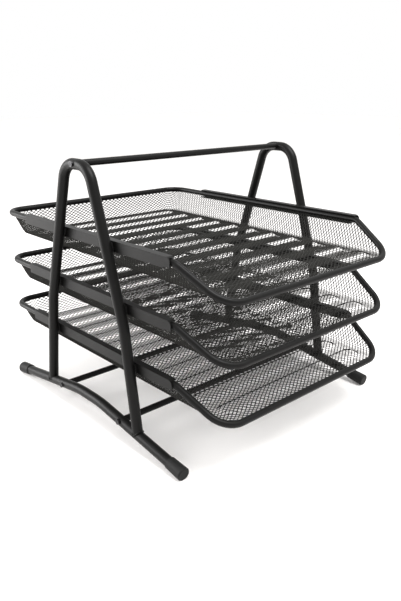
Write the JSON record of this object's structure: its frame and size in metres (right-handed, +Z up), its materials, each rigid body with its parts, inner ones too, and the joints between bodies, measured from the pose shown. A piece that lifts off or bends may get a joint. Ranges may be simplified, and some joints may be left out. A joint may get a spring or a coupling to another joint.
{
  "type": "letter tray stack with sliding mesh trays",
  "caption": "Desk document stand: two arched tube side frames on foot bars, a carrying handle, and mesh letter trays that slide out to the front on channel rails.",
  "frame": {"origin": "on the desk under the middle of the stack's bounding box", "axes": "+Z up, the trays slide out towards -Y, +X to the right of a person in front"},
  "size_m": [0.2932, 0.3654, 0.2705],
  "materials": {
    "black_frame": "satin black powder coat on steel tube, rod and strip",
    "black_mesh": "satin black powder coat on fine steel mesh",
    "black_screws": "black coated steel screws",
    "black_plastic": "matte black moulded plastic"
  },
  "bodies": {
    "stand": {"left_side_frame": "black_frame", "left_foot_tube": "black_frame", "right_side_frame": "black_frame", "right_foot_tube": "black_frame", "handle_bar": "black_frame", "rear_cross_rail": "black_frame", "front_cross_rail": "black_frame", "handle_bar_screws": "black_screws", "cross_rail_screws": "black_screws", "left_rear_foot_cap": "black_plastic", "left_front_foot_cap": "black_plastic", "right_rear_foot_cap": "black_plastic", "right_front_foot_cap": "black_plastic", "left_top_slide_rail": "black_frame", "left_middle_slide_rail": "black_frame", "left_bottom_slide_rail": "black_frame", "right_top_slide_rail": "black_frame", "right_middle_slide_rail": "black_frame", "right_bottom_slide_rail": "black_frame"},
    "top_tray": {"top_tray_rim": "black_frame", "top_tray_basket": "black_mesh"},
    "middle_tray": {"middle_tray_rim": "black_frame", "middle_tray_basket": "black_mesh"},
    "bottom_tray": {"bottom_tray_rim": "black_frame", "bottom_tray_basket": "black_mesh"}
  },
  "joints": [
    {"name": "top_tray_slide", "type": "slide", "parent": "stand", "child": "top_tray", "axis": [0, -1, 0], "range_m": [0, 0.2]},
    {"name": "middle_tray_slide", "type": "slide", "parent": "stand", "child": "middle_tray", "axis": [0, -1, 0], "range_m": [0, 0.2]},
    {"name": "bottom_tray_slide", "type": "slide", "parent": "stand", "child": "bottom_tray", "axis": [0, -1, 0], "range_m": [0, 0.2]}
  ]
}
